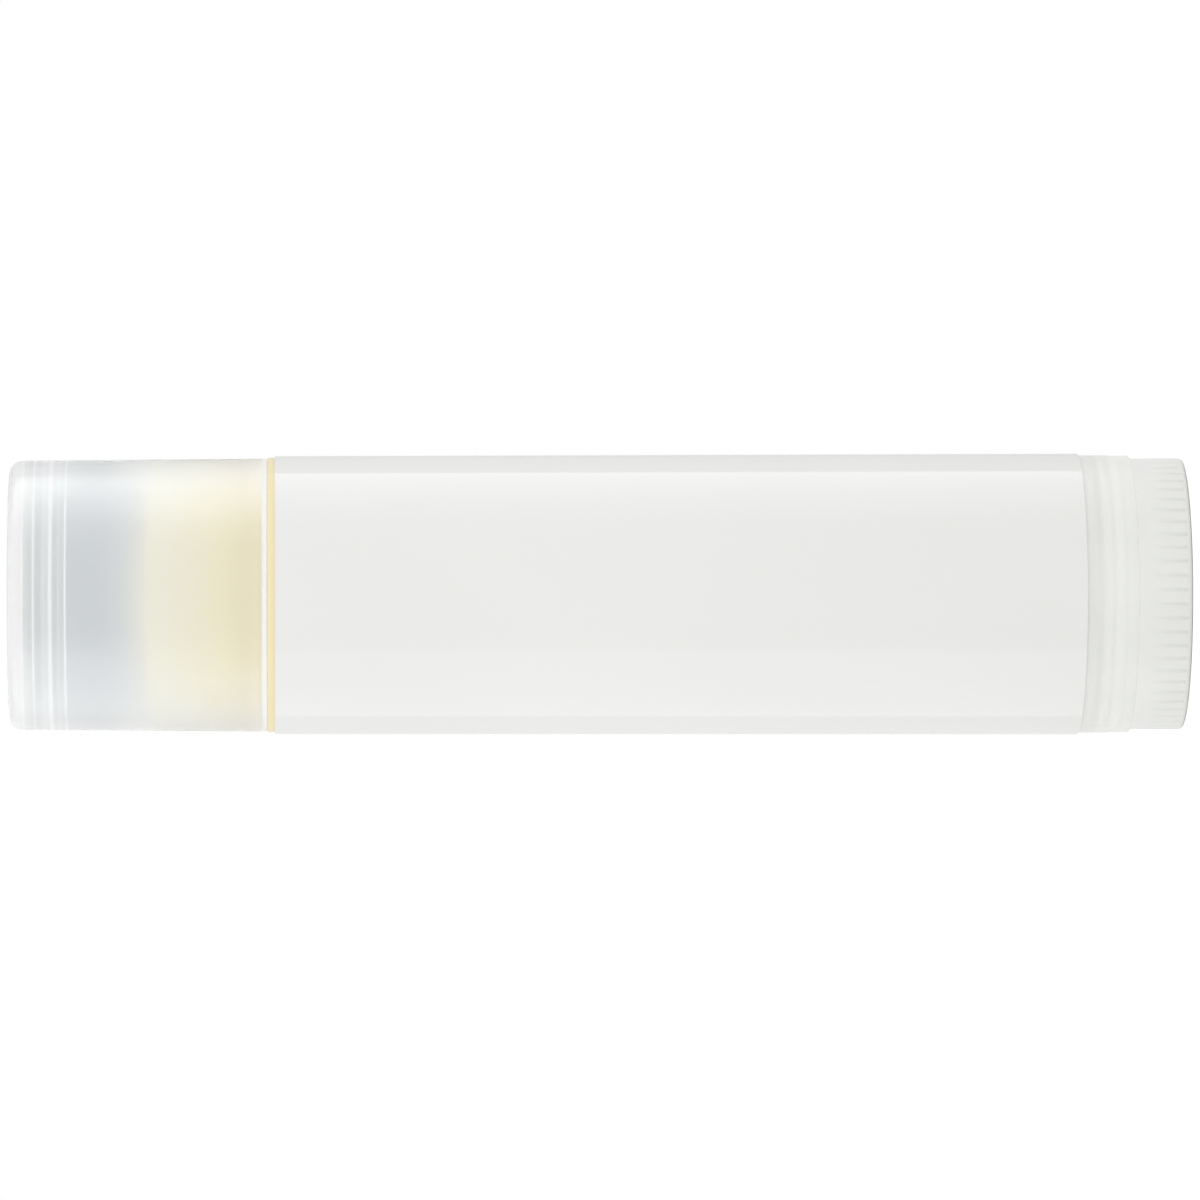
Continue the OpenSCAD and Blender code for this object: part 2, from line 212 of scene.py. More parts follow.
class DialSettings(bpy.types.PropertyGroup):
    """Sizes and colours of the dial and its screw."""

    height: bpy.props.FloatProperty(
        name="Height",
        description="Height of the dial below the body",
        default=3.06 * MM, unit="LENGTH", precision=5)
    edge: bpy.props.FloatProperty(
        name="Foot edge",
        description="Radius of the edge round the foot",
        default=0.25 * MM, unit="LENGTH", precision=5)
    ring_width: bpy.props.FloatProperty(
        name="Foot ring",
        description="Width of the flat ring that the dial stands on",
        default=1.1 * MM, unit="LENGTH", precision=5)
    dish_depth: bpy.props.FloatProperty(
        name="Dish depth",
        description="Depth of the dished foot",
        default=0.35 * MM, unit="LENGTH", precision=5)
    gate_radius: bpy.props.FloatProperty(
        name="Gate radius",
        description="Radius of the gate dimple in the foot",
        default=0.8 * MM, unit="LENGTH", precision=5)
    gate_depth: bpy.props.FloatProperty(
        name="Gate depth",
        description="Depth of the gate dimple",
        default=0.3 * MM, unit="LENGTH", precision=5)
    flutes: bpy.props.IntProperty(
        name="Flutes",
        description="Number of grip flutes",
        default=60, min=12)
    flute_turn: bpy.props.FloatProperty(
        name="Flute turn",
        description="Angle of the first flute round the axis, from X",
        default=math.radians(1.74), subtype="ANGLE")
    flute_width: bpy.props.FloatProperty(
        name="Flute width",
        description="Width of a flute",
        default=0.24 * MM, unit="LENGTH", precision=5)
    flute_depth: bpy.props.FloatProperty(
        name="Flute depth",
        description="Depth of a flute at its lower end",
        default=0.08 * MM, unit="LENGTH", precision=5)
    flute_low: bpy.props.FloatProperty(
        name="Flute start",
        description="Height at which the flutes begin",
        default=0.3 * MM, unit="LENGTH", precision=5)
    flute_high: bpy.props.FloatProperty(
        name="Flute end",
        description="Height at which the flutes run out",
        default=2.35 * MM, unit="LENGTH", precision=5)
    flute_fade: bpy.props.FloatProperty(
        name="Flute fade",
        description="Power by which the flutes get shallower upwards: 1 is even, and less is later",
        default=0.6, min=0.1, max=2)
    hub_radius: bpy.props.FloatProperty(
        name="Hub radius",
        description="Radius of the hub inside the barrel",
        default=6.28 * MM, unit="LENGTH", precision=5)
    hub_top: bpy.props.FloatProperty(
        name="Hub top",
        description="Height of the top of the hub",
        default=4.79 * MM, unit="LENGTH", precision=5)
    snap_height: bpy.props.FloatProperty(
        name="Snap height",
        description="Height of the middle of the snap bead",
        default=4.04 * MM, unit="LENGTH", precision=5)
    snap_width: bpy.props.FloatProperty(
        name="Snap width",
        description="Width of the snap bead along the axis",
        default=0.8 * MM, unit="LENGTH", precision=5)
    snap_out: bpy.props.FloatProperty(
        name="Snap stand-out",
        description="How far the snap bead stands out from the hub",
        default=0.3 * MM, unit="LENGTH", precision=5)
    lead: bpy.props.FloatProperty(
        name="Screw lead",
        description="Rise of the thread in one turn",
        default=4 * MM, unit="LENGTH", precision=5)
    screw_radius: bpy.props.FloatProperty(
        name="Screw radius",
        description="Radius over the thread",
        default=2.25 * MM, unit="LENGTH", precision=5)
    core_radius: bpy.props.FloatProperty(
        name="Core radius",
        description="Radius of the screw's core",
        default=1.55 * MM, unit="LENGTH", precision=5)
    root_width: bpy.props.FloatProperty(
        name="Thread root",
        description="Width of the thread at its core",
        default=1.7 * MM, unit="LENGTH", precision=5)
    crest_width: bpy.props.FloatProperty(
        name="Thread crest",
        description="Width of the thread at its crest",
        default=1.2 * MM, unit="LENGTH", precision=5)
    point: bpy.props.FloatProperty(
        name="Screw point",
        description="Height of the cone at the screw's tip",
        default=0.5 * MM, unit="LENGTH", precision=5)
    flare: bpy.props.FloatProperty(
        name="Screw flare",
        description="Height and width of the flare at the screw's root",
        default=0.7 * MM, unit="LENGTH", precision=5)
    plastic: bpy.props.FloatVectorProperty(
        name="Plastic",
        description="Colour of the dial's plastic",
        default=(0.833, 0.842, 0.816), subtype="COLOR", size=3, min=0, max=1)


class BalmSettings(bpy.types.PropertyGroup):
    """Sizes and colours of the balm."""

    radius: bpy.props.FloatProperty(
        name="Radius",
        description="Radius of the balm in the bore",
        default=BALM_HIGH.x, unit="LENGTH", precision=5)
    foot_radius: bpy.props.FloatProperty(
        name="Foot radius",
        description="Radius of the balm in the carrier's cup",
        default=5.1 * MM, unit="LENGTH", precision=5)
    foot_height: bpy.props.FloatProperty(
        name="Foot height",
        description="Height of the balm's foot, in the carrier's cup",
        default=3.4 * MM, unit="LENGTH", precision=5)
    dome: bpy.props.FloatProperty(
        name="Dome",
        description="Height of the domed top above the neck's mouth",
        default=1 * MM, unit="LENGTH", precision=5)
    hole_radius: bpy.props.FloatProperty(
        name="Hole radius",
        description="Radius of the hole that the screw stands in",
        default=2.4 * MM, unit="LENGTH", precision=5)
    hole_top: bpy.props.FloatProperty(
        name="Hole top",
        description="Height of the top of the screw's hole",
        default=52.29 * MM, unit="LENGTH", precision=5)
    slot_radius: bpy.props.FloatProperty(
        name="Slot radius",
        description="Radius at the bottom of the slots that the barrel's keys leave",
        default=5.55 * MM, unit="LENGTH", precision=5)
    slot_width: bpy.props.FloatProperty(
        name="Slot width",
        description="Width of a slot",
        default=1.1 * MM, unit="LENGTH", precision=5)
    wax: bpy.props.FloatVectorProperty(
        name="Wax",
        description="Colour of the balm in the barrel",
        default=(0.95, 0.83, 0.54), subtype="COLOR", size=3, min=0, max=1)
    top_colour: bpy.props.FloatVectorProperty(
        name="Bloom",
        description="Paler colour of the balm near its top",
        default=(0.93, 0.9, 0.77), subtype="COLOR", size=3, min=0, max=1)


class CapSettings(bpy.types.PropertyGroup):
    """Sizes and colours of the cap."""

    rim_radius: bpy.props.FloatProperty(
        name="Rim radius",
        description="Outer radius at the rim",
        default=CAP_HIGH.x, unit="LENGTH", precision=5)
    bore_radius: bpy.props.FloatProperty(
        name="Bore radius",
        description="Radius of the bore at the rim",
        default=6.88 * MM, unit="LENGTH", precision=5)
    draft: bpy.props.FloatProperty(
        name="Draft",
        description="How much the cap narrows towards its closed end, on the radius",
        default=0.105 * MM, unit="LENGTH", precision=5)
    end_thickness: bpy.props.FloatProperty(
        name="End thickness",
        description="Thickness of the closed end",
        default=0.84 * MM, unit="LENGTH", precision=5)
    corner: bpy.props.FloatProperty(
        name="Corner radius",
        description="Radius of the closed end's outer corner",
        default=0.78 * MM, unit="LENGTH", precision=5)
    lead_in: bpy.props.FloatProperty(
        name="Lead-in",
        description="Lead-in chamfer inside the rim",
        default=0.3 * MM, unit="LENGTH", precision=5)
    rings: bpy.props.FloatVectorProperty(
        name="Rings",
        description="Distances of the narrowing rings' lower edges from the end's inner face",
        default=(2.45 * MM, 1.6 * MM, 0.65 * MM), size=3, unit="LENGTH", precision=5)
    ring_step: bpy.props.FloatProperty(
        name="Ring step",
        description="How much each ring is narrower than the one below it, on the radius",
        default=0.22 * MM, unit="LENGTH", precision=5)
    ring_bevel: bpy.props.FloatProperty(
        name="Ring bevel",
        description="Height of the bevel at each ring's lower edge",
        default=0.38 * MM, unit="LENGTH", precision=5)
    gate_radius: bpy.props.FloatProperty(
        name="Gate radius",
        description="Radius of the gate dimple in the closed end",
        default=1 * MM, unit="LENGTH", precision=5)
    gate_depth: bpy.props.FloatProperty(
        name="Gate depth",
        description="Depth of the gate dimple",
        default=0.15 * MM, unit="LENGTH", precision=5)
    # Painted shade: tint, tint_below and tint_rise darken the wall in the band of heights over the
    # hollow, for the dim room seen through it.
    tint: bpy.props.FloatVectorProperty(
        name="Tint",
        description="Colour that the natural plastic lends to the hollow seen through it",
        default=(0.65, 0.68, 0.705), subtype="COLOR", size=3, min=0, max=1)
    tint_below: bpy.props.FloatProperty(
        name="Tint start",
        description="How far below the neck's mouth the tint starts",
        default=0.8 * MM, unit="LENGTH", precision=5)
    tint_rise: bpy.props.FloatProperty(
        name="Tint rise",
        description="Height over which the tint comes up",
        default=3.8 * MM, unit="LENGTH", precision=5)
    skirt_tint: bpy.props.FloatVectorProperty(
        name="Skirt tint",
        description="Colour that the thin wall round the neck lends to what shows through it",
        default=(0.8, 0.815, 0.825), subtype="COLOR", size=3, min=0, max=1)
    # Painted light: rim_light_share clears the tint above the rim, lifting the shade in the crevice
    # over the shoulder.
    rim_light_share: bpy.props.FloatProperty(
        name="Rim clearness",
        description="Share by which the wall clears where it thins towards the rim",
        default=0.6, subtype="FACTOR", min=0, max=1)
    clear: bpy.props.FloatVectorProperty(
        name="Clear tint",
        description="Colour that the plastic lends to the light that falls through it",
        default=(0.995, 0.995, 0.99), subtype="COLOR", size=3, min=0, max=1)
    milk: bpy.props.FloatVectorProperty(
        name="Milk",
        description="Colour of the plastic's milky part",
        default=(0.93, 0.94, 0.945), subtype="COLOR", size=3, min=0, max=1)
    haze: bpy.props.FloatProperty(
        name="Haze",
        description="Share of the light that the plastic scatters back",
        default=0.1, subtype="FACTOR", min=0, max=1)
    end_haze: bpy.props.FloatProperty(
        name="End haze",
        description="Further share of the light that the thick closed end scatters back",
        default=0.2, subtype="FACTOR", min=0, max=1)
    # Painted highlights: ring_glint_milk, ring_glint_haze, ring_glint_halves, end_glint and
    # upper_glints lay thin milky, lighter bands at the rings' edges and the end's inner face.
    ring_glint_milk: bpy.props.FloatVectorProperty(
        name="Ring milk",
        description="Colour of the milky part along the edges of the narrowing rings",
        default=(0.93, 0.93, 0.92), subtype="COLOR", size=3, min=0, max=1)
    ring_glint_haze: bpy.props.FloatProperty(
        name="Ring haze",
        description="Further share of the light that the edges of the rings scatter back",
        default=0.6, subtype="FACTOR", min=0, max=0.8)
    ring_glint_halves: bpy.props.FloatVectorProperty(
        name="Ring lines",
        description="Half the heights of the light lines at the lower edges of the rings",
        default=(0.1 * MM, 0.2 * MM, 0.1 * MM), size=3, unit="LENGTH", precision=5)
    end_glint: bpy.props.FloatProperty(
        name="End line",
        description="Half the height of the light line at the end's inner face",
        default=0.12 * MM, unit="LENGTH", precision=5)
    upper_glints: bpy.props.FloatProperty(
        name="Upper lines",
        description="Strength of the lines at the rings' upper edges beside those at the lower",
        default=0.35, subtype="FACTOR", min=0, max=1)
    frost: bpy.props.FloatProperty(
        name="Frost",
        description="Roughness of the plastic",
        default=0.38, subtype="FACTOR", min=0, max=1)
    specular: bpy.props.FloatProperty(
        name="Specular",
        description="Specular level of the plastic's clear part",
        default=0.2, subtype="FACTOR", min=0, max=1)
    coat: bpy.props.FloatProperty(
        name="Coat",
        description="Weight of the polished skin over the frosted plastic round the hollow",
        default=0.85, subtype="FACTOR", min=0, max=1)
    straight: bpy.props.FloatProperty(
        name="Straight through",
        description="Share of the light from the neck close behind that comes straight through",
        default=0.1, subtype="FACTOR", min=0, max=1)


class CarrierSettings(bpy.types.PropertyGroup):
    """Colour of the carrier."""

    plastic: bpy.props.FloatVectorProperty(
        name="Plastic",
        description="Colour of the carrier's plastic",
        default=(0.83, 0.83, 0.81), subtype="COLOR", size=3, min=0, max=1)


class StageSettings(bpy.types.PropertyGroup):
    """The camera, the floor and the light."""

    distance: bpy.props.FloatProperty(
        name="Camera distance",
        description="Distance of the camera from the stick's axis",
        default=0.56, unit="LENGTH")
    eye_height: bpy.props.FloatProperty(
        name="Camera height",
        description="Height of the camera",
        default=51.965 * MM, unit="LENGTH", precision=5)
    aim_height: bpy.props.FloatProperty(
        name="Aim height",
        description="Height on the stick at the middle of the picture",
        default=33.365 * MM, unit="LENGTH", precision=5)
    aside: bpy.props.FloatProperty(
        name="Aside",
        description="How far the camera stands to the side of the stick's axis",
        default=-0.31 * MM, unit="LENGTH", precision=5)
    roll: bpy.props.FloatProperty(
        name="Roll",
        description="Roll of the camera past the quarter turn that lays the stick on its side",
        default=math.radians(-0.08), subtype="ANGLE")
    picture_width: bpy.props.FloatProperty(
        name="Picture width",
        description="Width that the picture covers at the stick's axis",
        default=68.72 * MM, unit="LENGTH", precision=5)
    floor_radius: bpy.props.FloatProperty(
        name="Floor radius",
        description="Radius of the round floor, small so that its edge isn't mirrored in the stick",
        default=0.05, unit="LENGTH")
    floor_white: bpy.props.FloatVectorProperty(
        name="Floor white",
        description="Colour of the floor",
        default=(0.93, 0.93, 0.93), subtype="COLOR", size=3, min=0, max=1)
    fill: bpy.props.FloatProperty(
        name="Fill",
        description="Strength of the surroundings as they light the stick",
        default=1.025, min=0)
    room: bpy.props.FloatProperty(
        name="Room",
        description="Strength of the room beside the backdrop, mirrored or seen through",
        default=0.95, min=0)
    rear_shade: bpy.props.FloatProperty(
        name="Rear shade",
        description="How much duller the room is beside the backdrop, where it is mirrored",
        default=0.28, subtype="FACTOR", min=0, max=1)
    rear_shade_through: bpy.props.FloatProperty(
        name="Rear shade through",
        description="Share of the rear shade that is left where the room is seen through plastic",
        default=0.3, subtype="FACTOR", min=0, max=1)
    floor_glow: bpy.props.FloatProperty(
        name="Floor glow",
        description="What the floor shows beyond the light on it, to be white but for its shadow",
        default=0.3, min=0)
    floor_mirrored: bpy.props.FloatProperty(
        name="Floor glow mirrored",
        description="Share of the floor's glow that is left where the floor is mirrored",
        default=0.1, subtype="FACTOR", min=0, max=1)
    lower_light: bpy.props.FloatProperty(
        name="Lower softbox",
        description="Radiance that the softbox on the -X side adds to the room's",
        default=0.55, min=0)
    lower_bearing: bpy.props.FloatProperty(
        name="Lower bearing",
        description="Bearing of the softbox on the -X side, from the camera's side",
        default=math.radians(83), subtype="ANGLE")
    lower_width: bpy.props.FloatProperty(
        name="Lower width",
        description="Width of the softbox on the -X side",
        default=0.516, unit="LENGTH")
    upper_light: bpy.props.FloatProperty(
        name="Upper softbox",
        description="Radiance that the softbox on the +X side adds to the room's, at its far edge",
        default=1.35, min=0)
    upper_bearing: bpy.props.FloatProperty(
        name="Upper bearing",
        description="Bearing of the softbox on the +X side, from the camera's side",
        default=math.radians(-90), subtype="ANGLE")
    upper_width: bpy.props.FloatProperty(
        name="Upper width",
        description="Width of the softbox on the +X side",
        default=0.4, unit="LENGTH")
    softbox_height: bpy.props.FloatProperty(
        name="Softbox height",
        description="Height of both softboxes",
        default=0.6, unit="LENGTH")
    softbox_distance: bpy.props.FloatProperty(
        name="Softbox distance",
        description="Distance of both softboxes from the stick's axis",
        default=0.35, unit="LENGTH")


SETTINGS = {
    "lip_barrel": BarrelSettings,
    "lip_label": LabelSettings,
    "lip_dial": DialSettings,
    "lip_balm": BalmSettings,
    "lip_cap": CapSettings,
    "lip_carrier": CarrierSettings,
    "lip_stage": StageSettings,
}


class Wire:
    """A node's output that takes part in Python expressions, each of which adds its Math node."""

    def __init__(self, finish, socket):
        self.finish = finish
        self.socket = socket

    def work(self, operation, first, second):
        """A Math node on two values."""
        return self.finish.node("ShaderNodeMath", {"operation": operation}, {0: first, 1: second})

    def __add__(self, other):
        return self.work("ADD", self, other)

    def __radd__(self, other):
        return self.work("ADD", other, self)

    def __sub__(self, other):
        return self.work("SUBTRACT", self, other)

    def __rsub__(self, other):
        return self.work("SUBTRACT", other, self)

    def __mul__(self, other):
        return self.work("MULTIPLY", self, other)

    def __rmul__(self, other):
        return self.work("MULTIPLY", other, self)

    def __pow__(self, other):
        return self.work("POWER", self, other)

    def __rpow__(self, other):
        return self.work("POWER", other, self)


class Finish:
    """A node tree, with one method that adds any node."""

    def __init__(self, tree):
        self.tree = tree
        tree.nodes.clear()

    def node(self, kind, settings=None, sockets=None, output=0):
        """Adds a node with its settings and its sockets' values or links, and gives an output."""
        made = self.tree.nodes.new(kind)
        for name, value in (settings or {}).items():
            setattr(made, name, value)
        for name, value in (sockets or {}).items():
            if isinstance(value, Wire):
                self.tree.links.new(value.socket, made.inputs[name])
            else:
                made.inputs[name].default_value = value
        if len(made.outputs) == 0:
            return None
        return Wire(self, made.outputs[output])

    def outputs(self, kind, names, sockets=None):
        """Adds a node and gives several of its outputs, by name."""
        made = self.node(kind, None, sockets).socket.node
        return [Wire(self, made.outputs[name]) for name in names]

    def rays(self, *kinds):
        """1 on rays of each kind and 0 on others."""
        return self.outputs("ShaderNodeLightPath", [f"Is {kind} Ray" for kind in kinds])

    def place(self):
        """Coordinates in the row frame, in metres."""
        return self.node("ShaderNodeTexCoord", output="Object")

    def axes(self):
        """X, Y and Z of the place."""
        return self.outputs("ShaderNodeSeparateXYZ", "XYZ", {0: self.place()})

    def off_axis(self):
        """Distance of the place from the Z axis."""
        x, y, _ = self.axes()
        return (x ** 2 + y ** 2) ** 0.5

    def noise(self, scale, detail, stretch=(1, 1, 1)):
        """Noise of so many lumps to the metre, longer along an axis where stretch is under 1."""
        where = self.node("ShaderNodeMapping", None, {"Vector": self.place(), "Scale": stretch})
        return self.node(
            "ShaderNodeTexNoise", None, {"Vector": where, "Scale": scale, "Detail": detail})

    def between(self, value, low, high):
        """0 where a value is low and 1 where it is high, smooth in between."""
        return self.node(
            "ShaderNodeMapRange",
            {"interpolation_type": "SMOOTHSTEP", "clamp": True},
            {"Value": value, "From Min": low, "From Max": high})

    def mix(self, share, first, second):
        """A colour between two, by a share."""
        wide = [c if isinstance(c, Wire) else (*c, 1) for c in (first, second)]
        return self.node(
            "ShaderNodeMix",
            {"data_type": "RGBA"},
            {"Factor": share, 6: wide[0], 7: wide[1]},
            output=2)

    def uneven(self, colour, noise, darker=0.985, lighter=1.01):
        """A colour that drifts with a noise between a little darker and a little lighter."""
        drift = self.between(noise, 0.35, 0.65)
        return self.mix(drift, shades(colour, darker), shades(colour, lighter))

    def bump(self, height, distance, strength):
        """A normal from a height in 0 to 1, over a distance in metres."""
        return self.node(
            "ShaderNodeBump", None, {"Height": height, "Distance": distance, "Strength": strength})

    def principled(self, sockets):
        """A Principled shader."""
        return self.node("ShaderNodeBsdfPrincipled", None, sockets)

    def blend(self, share, first, second):
        """A shader between two, by a share."""
        return self.node("ShaderNodeMixShader", None, {0: share, 1: first, 2: second})

    def surface(self, shader):
        """Makes a shader the material's surface."""
        self.node("ShaderNodeOutputMaterial", None, {"Surface": shader})


def shades(colour, factor):
    """A colour made lighter or darker by a factor."""
    return tuple(min(1.0, c * factor) for c in colour)


def new_finish(name):
    """A material and the tree of its finish."""
    material = bpy.data.materials.new(name)
    material.use_nodes = True
    return material, Finish(material.node_tree)


def natural_plastic(finish, settings, milkiness, tint, milk, coat=0, straight=None):
    """Unpigmented moulded plastic: a clear part, and a milky one that scatters light back.

    Shadow and diffuse rays pass it as if it were all clear, so that what stands inside it is lit.
    With straight, so much of what is behind it also shows straight through."""
    frosting = finish.noise(9000, 2)
    shared = {
        "Coat Weight": coat,
        "Coat Roughness": 0.2,
        "Coat IOR": 1.7,
        "Roughness": settings.frost + 0.06 * (frosting - 0.5),
        "IOR": 1.49,
        "Normal": finish.bump(frosting, 0.001 * MM, 0.3),
    }
    clear = finish.principled({
        **shared,
        "Base Color": tint,
        "Transmission Weight": 1,
        "Specular IOR Level": settings.specular,
    })
    milky = finish.principled({**shared, "Base Color": milk, "Specular IOR Level": 0.1})
    wall = finish.blend(milkiness, clear, milky)
    through = finish.node("ShaderNodeBsdfTransparent", None, {"Color": (*settings.clear, 1)})
    if straight:
        wall = finish.blend(straight, wall, through)
    shadow, diffuse = finish.rays("Shadow", "Diffuse")
    finish.surface(finish.blend(1 - (1 - shadow) * (1 - diffuse), wall, through))


def barrel_plastic(settings):
    """The barrel's natural plastic: milky in the body, clearer in the neck over the balm, with
    painted balm glow.
    """
    material, finish = new_finish("barrel_plastic")
    _, _, z = finish.axes()
    shoulder, mouth = CAP_LOW.z, BARREL_HIGH.z
    root_top = shoulder + settings.root_height
    bare_low = shoulder - 0.4 * MM  # foot of the ring that label and cap leave bare
    # Painted glow: from the bare ring up, the milky part takes the balm's light as its colour.
    glow = finish.mix(finish.between(z, shoulder, root_top), settings.glow, settings.painted_neck_glow)
    glow = finish.mix(finish.between(z, shoulder + 1 * MM, mouth), glow, settings.painted_mouth_glow)
    milk = finish.uneven(settings.milk, finish.noise(240, 3, DRAWN))
    milk = finish.mix(finish.between(z, bare_low - 0.2 * MM, bare_low), milk, glow)
    wall = settings.neck_radius - settings.bore_radius
    outside = finish.between(
        finish.off_axis(), settings.bore_radius + 0.2 * wall, settings.bore_radius + 0.6 * wall)
    body = finish.between(z, shoulder + 0.1 * MM, shoulder - 0.1 * MM)
    neck_haze = settings.haze + settings.root_haze * finish.between(z, root_top, shoulder)
    milkiness = outside * (neck_haze + body * (settings.body_haze - neck_haze))
    natural_plastic(finish, settings, milkiness, (*settings.clear, 1), milk)
    return material


def cap_plastic(settings):
    """The cap's natural plastic: painted shade darkens its tint over the hollow, painted light
    clears it at the rim.
    """
    material, finish = new_finish("cap_plastic")
    _, _, z = finish.axes()
    rim, inner_face = CAP_LOW.z, CAP_HIGH.z - settings.end_thickness
    tint_low = BARREL_HIGH.z - settings.tint_below
    hollow = finish.between(z, tint_low, tint_low + settings.tint_rise)
    # Painted shade: the dark tint is laid on by height, from over the neck's mouth up to the end's
    # inner face.
    hollow_shade = hollow * finish.between(z, inner_face, inner_face - 0.3 * MM)
    # Painted light: the tint clears towards the rim, lifting the crevice's shade.
    thin = settings.rim_light_share * finish.between(z, rim + 1.5 * MM, rim + 0.4 * MM)
    skirt = finish.mix(thin, settings.skirt_tint, settings.clear)
    milk = finish.uneven(settings.milk, finish.noise(240, 3, DRAWN))

    # Painted highlights: each line is a thin band of heights, milkier and lighter, on every surface
    # at that height; the rim has one too.
    def line(height, half):
        return finish.between(z, height - half, height) * finish.between(z, height + half, height)

    lines = finish.between(z, rim + 0.38 * MM, rim + 0.2 * MM) + line(inner_face, settings.end_glint)
    for distance, half in zip(settings.rings, settings.ring_glint_halves):
        lower = inner_face - distance
        upper = lower + settings.ring_bevel
        lines = lines + line(lower, half) + settings.upper_glints * line(upper, half)
    thick = settings.end_haze * finish.between(z, inner_face, inner_face + 0.2 * MM)
    natural_plastic(
        finish, settings,
        milkiness=settings.haze + thick + settings.ring_glint_haze * lines,
        tint=finish.mix(hollow_shade, skirt, settings.tint),
        milk=finish.mix(lines, milk, settings.ring_glint_milk),
        coat=settings.coat * hollow,
        straight=settings.straight * (1 - hollow))
    return material


def film_finish(settings):
    """Blank white film with a glossy coating over a fine grain."""
    material, finish = new_finish("label_film")
    grain = finish.noise(14000, 2)
    finish.surface(finish.principled({
        "Base Color": finish.uneven(settings.film, finish.noise(60, 2), 0.992, 1.006),
        "Roughness": settings.gloss + 0.03 * (grain - 0.5),
        "IOR": 1.5,
        "Normal": finish.bump(grain, 0.001 * MM, 0.2),
    }))
    return material


def satin_plastic(name, colour, shaded_grooves_below=None):
    """Moulded satin plastic, with painted shade in the grooves below a radius."""
    material, finish = new_finish(name)
    grain = finish.noise(11000, 2)
    base = finish.uneven(colour, finish.noise(300, 3))
    if shaded_grooves_below:
        groove_depth = 0.12 * MM
        # Painted shade: darker towards the flutes' bottoms.
        groove_shade = finish.between(finish.off_axis(), shaded_grooves_below, shaded_grooves_below - groove_depth)
        base = finish.mix(groove_shade * 0.5, base, shades(colour, 0.8))
    finish.surface(finish.principled({
        "Base Color": base,
        "Roughness": 0.34 + 0.08 * (grain - 0.5),
        "IOR": 1.49,
        "Specular IOR Level": 0.25,
        "Normal": finish.bump(grain, 0.003 * MM, 0.3),
    }))
    return material


def wax_finish(settings):
    """Poured balm: paler towards its top, faintly clouded, with a soft sheen."""
    material, finish = new_finish("balm_wax")
    _, _, z = finish.axes()
    paler = finish.between(z, BALM_HIGH.z - 6 * MM, BALM_HIGH.z - 1 * MM)
    base = finish.mix(paler, settings.wax, settings.top_colour)
    cloud = finish.noise(500, 4)
    clouded = 0.12 * finish.between(cloud, 0.3, 0.8)
    spots = finish.noise(2600, 3)
    finish.surface(finish.principled({
        "Base Color": finish.mix(clouded, base, shades(settings.wax, 0.92)),
        "Roughness": 0.42 + 0.1 * (spots - 0.5),
        "IOR": 1.44,
        "Specular IOR Level": 0.1,
        "Normal": finish.bump(cloud, 0.03 * MM, 0.5),
    }))
    return material


def ring_edges(bm, radius, height):
    """The edges of the ring at a radius and a height."""
    near = 0.004 * MM
    ring = {
        v for v in bm.verts
        if abs(v.co.xy.length - radius) < near and abs(v.co.z - height) < near}
    return [e for e in bm.edges if e.verts[0] in ring and e.verts[1] in ring]


def turned_by(bm, verts, angle):
    """Turns vertices about the Z axis."""
    bmesh.ops.rotate(bm, verts=verts, cent=(0, 0, 0), matrix=Matrix.Rotation(angle, 3, "Z"))


def turn(outline, steps):
    """A solid of revolution: an outline of radii and heights, spun once round the Z axis."""
    bm = bmesh.new()
    points = [bm.verts.new((radius, 0, height)) for radius, height in outline]
    pairs = list(zip(points, points[1:]))
    if outline[0][0] > 0:
        pairs.append((points[-1], points[0]))
    edges = [bm.edges.new(pair) for pair in pairs]
    bmesh.ops.spin(
        bm, geom=points + edges, cent=(0, 0, 0), axis=(0, 0, 1),
        angle=math.tau, steps=steps, use_merge=True)
    bmesh.ops.remove_doubles(bm, verts=bm.verts, dist=0.0005 * MM)
    bmesh.ops.recalc_face_normals(bm, faces=bm.faces)
    return bm


def soften(bm, rings, segments):
    """Bevels the rings given as radius, height and width."""
    for radius, height, width in rings:
        bmesh.ops.bevel(
            bm, geom=ring_edges(bm, radius, height), offset=width, offset_type="OFFSET",
            affect="EDGES", segments=segments, profile=0.5, material=-1, clamp_overlap=True)


def draw_to_radius(bm, wanted):
    """Moves each vertex to the radius that wanted gives for its angle, radius and height."""
    for vertex in bm.verts:
        radius = vertex.co.xy.length
        if radius > 0.01 * MM:
            angle = math.atan2(vertex.co.y, vertex.co.x)
            vertex.co.xy *= wanted(angle, radius, vertex.co.z) / radius


def off_nearest(angle, count):
    """Angle from the nearest of a count of places round the axis, the first of them on X."""
    pitch = math.tau / count
    return (angle + pitch / 2) % pitch - pitch / 2


def finish_piece(bm, name, body, material, stands_for=()):
    """Makes a piece of a bmesh: smooth but for its creases, on its body, with its material."""
    mesh = bpy.data.meshes.new(name)
    bm.to_mesh(mesh)
    bm.free()
    mesh.shade_smooth()
    mesh.set_sharp_from_angle(angle=math.radians(30))
    piece = bpy.data.objects.new(name, mesh)
    bpy.context.scene.collection.objects.link(piece)
    mesh.materials.append(material)
    weighted = piece.modifiers.new("Even shading", "WEIGHTED_NORMAL")
    weighted.keep_sharp = True
    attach(piece, body)
    if stands_for:
        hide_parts(*stands_for)


